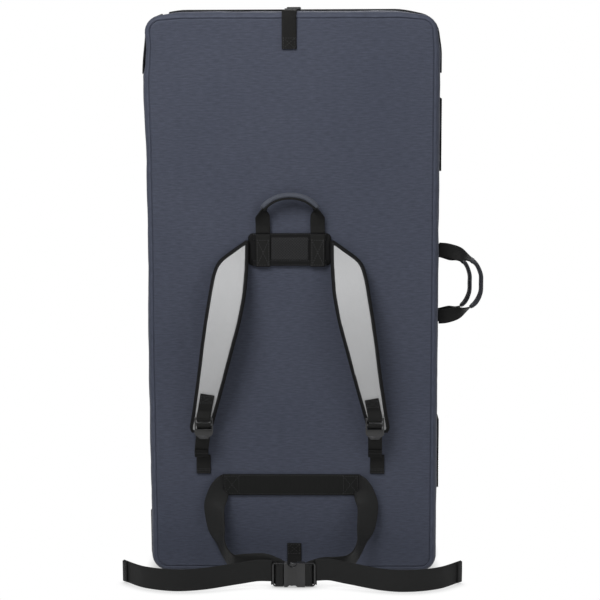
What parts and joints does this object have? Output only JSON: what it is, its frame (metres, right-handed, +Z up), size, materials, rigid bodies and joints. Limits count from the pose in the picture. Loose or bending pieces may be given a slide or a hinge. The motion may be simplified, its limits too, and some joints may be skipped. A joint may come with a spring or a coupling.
{
  "type": "bouldering crash pad",
  "caption": "Folding bouldering crash pad, folded shut and standing on end, with shoulder straps, waist belt, haul handle, side handles, end flaps and closure tabs.",
  "frame": {"origin": "middle of the front half's base, in the middle of its thickness, on the surface that the folded pad stands on", "axes": "+X to the right seen from the harness side, +Y away from that side, towards the rear half, +Z up along the pad's long side"},
  "size_m": [0.6257, 0.2732, 0.9892],
  "materials": {
    "shell": "matte",
    "landing": "matte",
    "webbing": "matte",
    "strap_face": "matte",
    "binding": "matte",
    "mesh": "matte",
    "open_cell_foam": "matte",
    "closed_cell_foam": "matte",
    "plastic": "satin",
    "hook_metal": "satin",
    "hook_loop": "matte"
  },
  "bodies": {
    "front_half": {"front_cover": "shell", "front_landing_panel": "landing", "front_landing_foam": "closed_cell_foam", "front_core_foam": "open_cell_foam", "front_hinge_strip": "shell", "front_top_gore": "landing", "front_bottom_gore": "landing", "top_keeper": "webbing", "bottom_keeper": "webbing", "upper_loop_patch": "hook_loop", "lower_loop_patch": "hook_loop", "yoke_panel": "binding", "yoke_mesh": "mesh", "haul_left_end": "webbing", "haul_right_end": "webbing", "left_anchor_webbing": "webbing", "right_anchor_webbing": "webbing", "waist_band": "webbing"},
    "rear_half": {"rear_cover": "shell", "rear_landing_panel": "landing", "rear_landing_foam": "closed_cell_foam", "rear_core_foam": "open_cell_foam", "rear_hinge_strip": "shell", "rear_top_gore": "landing", "rear_bottom_gore": "landing", "upper_tab_base": "hook_loop", "lower_tab_base": "hook_loop"},
    "top_end_flap": {"top_flap": "landing", "top_flap_strap": "webbing", "top_hook": "hook_metal"},
    "bottom_end_flap": {"bottom_flap": "landing", "bottom_hook": "hook_metal"},
    "upper_tab": {"upper_closure_tab": "hook_loop"},
    "lower_tab": {"lower_closure_tab": "hook_loop"},
    "haul_handle": {"haul_webbing": "webbing", "haul_sleeve": "shell"},
    "front_side_handle": {"front_handle_webbing": "webbing", "front_handle_sleeve": "shell"},
    "rear_side_handle": {"rear_handle_webbing": "webbing", "rear_handle_sleeve": "shell"},
    "left_strap": {"left_strap_binding": "binding", "left_strap_foam": "mesh", "left_strap_face": "strap_face", "left_strap_webbing": "webbing"},
    "right_strap": {"right_strap_binding": "binding", "right_strap_foam": "mesh", "right_strap_face": "strap_face", "right_strap_webbing": "webbing"},
    "left_adjuster": {"left_ladder_lock": "plastic", "left_adjuster_tail": "webbing"},
    "right_adjuster": {"right_ladder_lock": "plastic", "right_adjuster_tail": "webbing"},
    "waist_belt": {"left_belt_loop": "webbing", "right_belt_loop": "webbing", "right_belt_tail": "webbing", "buckle_socket": "plastic"},
    "buckle_plug_side": {"buckle_plug": "plastic", "buckle_upper_prong": "plastic", "buckle_lower_prong": "plastic", "left_belt_tail": "webbing"}
  },
  "joints": [
    {"name": "fold", "type": "hinge", "parent": "front_half", "child": "rear_half", "pos_m": [-0.2585, 0.044, 0], "axis": [0, 0, 1], "range_deg": [0, 180]},
    {"name": "top_flap_lift", "type": "hinge", "parent": "rear_half", "child": "top_end_flap", "pos_m": [0, 0.094, 0.9859], "axis": [-1, 0, 0], "range_deg": [0, 120]},
    {"name": "bottom_flap_drop", "type": "hinge", "parent": "rear_half", "child": "bottom_end_flap", "pos_m": [0, 0.06, 0.0009], "axis": [1, 0, 0], "range_deg": [0, 100]},
    {"name": "upper_tab_peel", "type": "hinge", "parent": "rear_half", "child": "upper_tab", "pos_m": [0.2571, 0.074, 0.774], "axis": [0, 0, 1], "range_deg": [0, 150]},
    {"name": "lower_tab_peel", "type": "hinge", "parent": "rear_half", "child": "lower_tab", "pos_m": [0.2571, 0.074, 0.211], "axis": [0, 0, 1], "range_deg": [0, 150]},
    {"name": "haul_handle_swing", "type": "hinge", "parent": "front_half", "child": "haul_handle", "pos_m": [-0.004, -0.04926, 0.6096], "axis": [1, 0, 0], "range_deg": [0, 150]},
    {"name": "front_handle_swing", "type": "hinge", "parent": "front_half", "child": "front_side_handle", "pos_m": [0.2579, -0.006, 0.516], "axis": [0, 0, 1], "range_deg": [-70, 70]},
    {"name": "rear_handle_swing", "type": "hinge", "parent": "rear_half", "child": "rear_side_handle", "pos_m": [0.2579, 0.094, 0.502], "axis": [0, 0, 1], "range_deg": [-70, 70]},
    {"name": "left_strap_swing", "type": "hinge", "parent": "front_half", "child": "left_strap", "pos_m": [-0.004, -0.04955, 0.597], "axis": [-1, 0, 0], "range_deg": [0, 75]},
    {"name": "right_strap_swing", "type": "hinge", "parent": "front_half", "child": "right_strap", "pos_m": [-0.004, -0.04955, 0.597], "axis": [-1, 0, 0], "range_deg": [0, 75]},
    {"name": "left_lock_tilt", "type": "hinge", "parent": "left_strap", "child": "left_adjuster", "pos_m": [-0.1535, -0.07591, 0.2894], "axis": [-1, 0, 0], "range_deg": [0, 45]},
    {"name": "right_lock_tilt", "type": "hinge", "parent": "right_strap", "child": "right_adjuster", "pos_m": [0.1455, -0.07591, 0.2894], "axis": [-1, 0, 0], "range_deg": [0, 45]},
    {"name": "belt_swing", "type": "hinge", "parent": "front_half", "child": "waist_belt", "pos_m": [-0.0035, -0.04413, 0.183], "axis": [-1, 0, 0], "range_deg": [0, 90]},
    {"name": "buckle_release", "type": "slide", "parent": "waist_belt", "child": "buckle_plug_side", "axis": [-1, 0, 0], "range_m": [0, 0.06], "deforming": ["buckle_upper_prong", "buckle_lower_prong"]}
  ]
}
